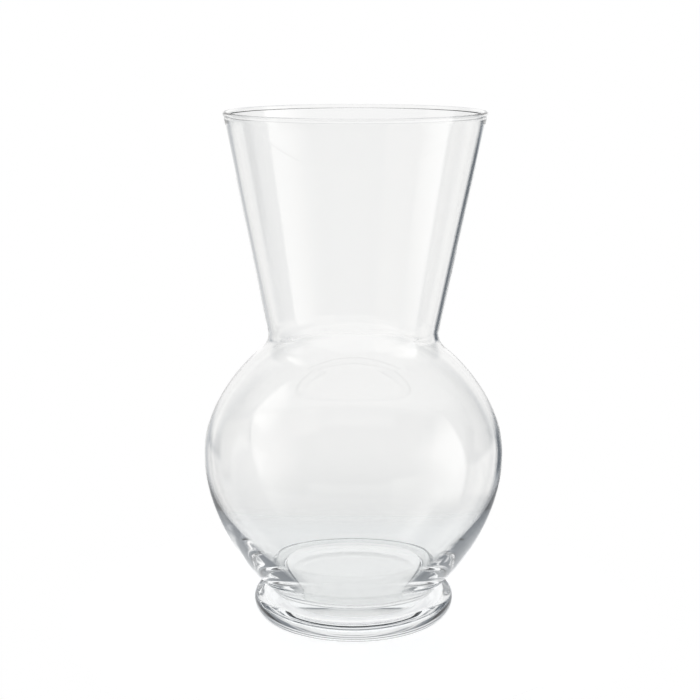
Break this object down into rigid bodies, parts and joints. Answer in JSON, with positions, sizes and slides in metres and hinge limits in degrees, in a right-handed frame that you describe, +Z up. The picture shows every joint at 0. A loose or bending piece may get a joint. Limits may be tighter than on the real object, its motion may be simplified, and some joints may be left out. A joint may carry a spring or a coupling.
{
  "type": "urn vase",
  "caption": "Clear glass urn vase: a round blown belly with a narrow throat and a flared neck, fused to a round-edged pressed foot.",
  "frame": {"origin": "centre of the flat ring that the foot stands on, on the vase's axis", "axes": "+Z up along the axis that the vase is turned about, towards the mouth; X and Y are any two level directions, and the picture looks along +Y"},
  "size_m": [0.1466, 0.1466, 0.248],
  "materials": {
    "vessel_glass": "clear, fire polished",
    "foot_glass": "clear, pressed and fire polished"
  },
  "bodies": {
    "root": {"blown_vessel": "vessel_glass", "pressed_foot": "foot_glass"}
  },
  "joints": []
}
